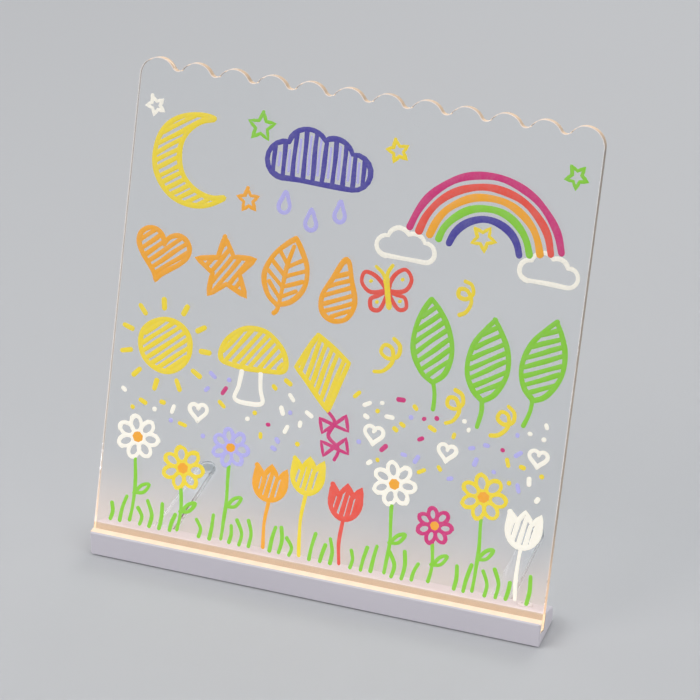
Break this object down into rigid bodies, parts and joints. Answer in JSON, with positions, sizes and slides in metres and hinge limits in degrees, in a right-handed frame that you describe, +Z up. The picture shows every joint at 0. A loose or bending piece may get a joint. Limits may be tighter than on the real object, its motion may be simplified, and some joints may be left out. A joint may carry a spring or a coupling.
{
  "type": "led writing board",
  "caption": "Edge-lit clear acrylic writing board with a scalloped top, leaning in a slim light base with swing-out legs.",
  "frame": {"origin": "middle of the bounding box, on the surface that the board stands on", "axes": "+X to the viewer's right along the base, +Y to the back, +Z up"},
  "size_m": [0.25, 0.1, 0.2551],
  "materials": {
    "clear_acrylic": "clear polished sheet",
    "clear_leg": "clear moulded plastic",
    "frosted_diffuser": "frosted, glows warm white",
    "white_housing": "fine satin moulding",
    "white_cover": "satin moulding",
    "foot_rubber": "soft matte",
    "screw_steel": "zinc plated",
    "washer_nylon": "natural nylon",
    "circuit_board": "white solder mask",
    "lamp_lens": "warm white lamp",
    "black_component": "moulded epoxy",
    "black_plastic": "moulded",
    "socket_steel": "nickel plated",
    "button_plastic": "satin",
    "wire_jacket": "extruded",
    "marker_ink": "opaque chalk marker, wipes off"
  },
  "bodies": {
    "base": {"light_diffuser": "frosted_diffuser", "base_shell": "white_housing", "bottom_cover": "white_cover", "rubber_feet": "foot_rubber", "cover_screws": "screw_steel", "pivot_screws": "screw_steel", "pivot_washers": "washer_nylon", "led_board": "circuit_board", "led_chips": "lamp_lens", "led_resistors": "black_component", "usb_board": "circuit_board", "usb_socket_shell": "socket_steel", "usb_socket_tongue": "black_plastic", "driver_chip": "black_component", "switch_body": "black_plastic", "button_board": "circuit_board", "supply_wires": "wire_jacket", "switch_wires": "wire_jacket"},
    "panel": {"acrylic_panel": "clear_acrylic"},
    "left_leg": {"left_leg": "clear_leg", "left_leg_pad": "foot_rubber"},
    "right_leg": {"right_leg": "clear_leg", "right_leg_pad": "foot_rubber"},
    "button": {"button_cap": "button_plastic", "switch_plunger": "black_plastic"}
  },
  "joints": [
    {"name": "panel_lift", "type": "slide", "parent": "base", "child": "panel", "axis": [0, 0.342, 0.9397], "range_m": [0, 0.02]},
    {"name": "left_leg_swing", "type": "hinge", "parent": "base", "child": "left_leg", "pos_m": [-0.095, -0.03201, 0.0012], "axis": [0, 0, -1], "range_deg": [0, 90]},
    {"name": "right_leg_swing", "type": "hinge", "parent": "base", "child": "right_leg", "pos_m": [0.095, -0.03201, 0.0012], "axis": [0, 0, 1], "range_deg": [0, 90]},
    {"name": "button_press", "type": "slide", "parent": "base", "child": "button", "axis": [0, -0.3719, -0.9283], "range_m": [0, 0.0005], "stiffness_N_per_m": 500, "springref_m": -0.001}
  ]
}
